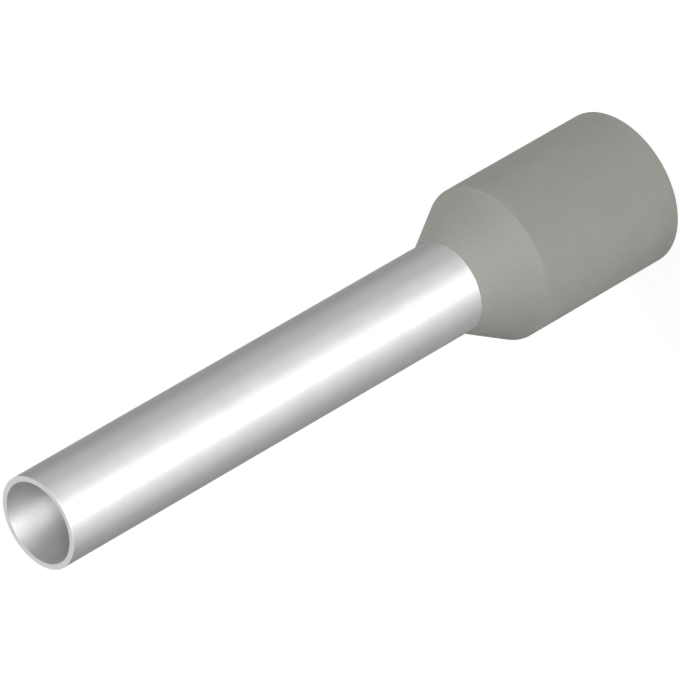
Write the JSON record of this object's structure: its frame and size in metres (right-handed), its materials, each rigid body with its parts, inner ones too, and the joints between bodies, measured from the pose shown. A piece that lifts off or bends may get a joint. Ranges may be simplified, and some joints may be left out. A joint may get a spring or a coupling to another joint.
{
  "type": "insulated wire ferrule",
  "caption": "Insulated wire ferrule: a thin tinned metal crimp sleeve, open at its tip, seated in a grey plastic collar with a tapered nose and a wide round mouth for the wire.",
  "frame": {"origin": "centre of the collar's rear face, the flat ring on which the ferrule stands", "axes": "+Z along the common axis of collar and sleeve, from the wire's mouth towards the sleeve's open tip; X and Y are alike, because the part is round"},
  "size_m": [0.0054, 0.0054, 0.026],
  "materials": {
    "tinned_copper": "copper with a satin tin plating",
    "grey_plastic": "matte moulded polypropylene"
  },
  "bodies": {
    "root": {"crimp_sleeve": "tinned_copper", "insulating_collar": "grey_plastic"}
  },
  "joints": []
}
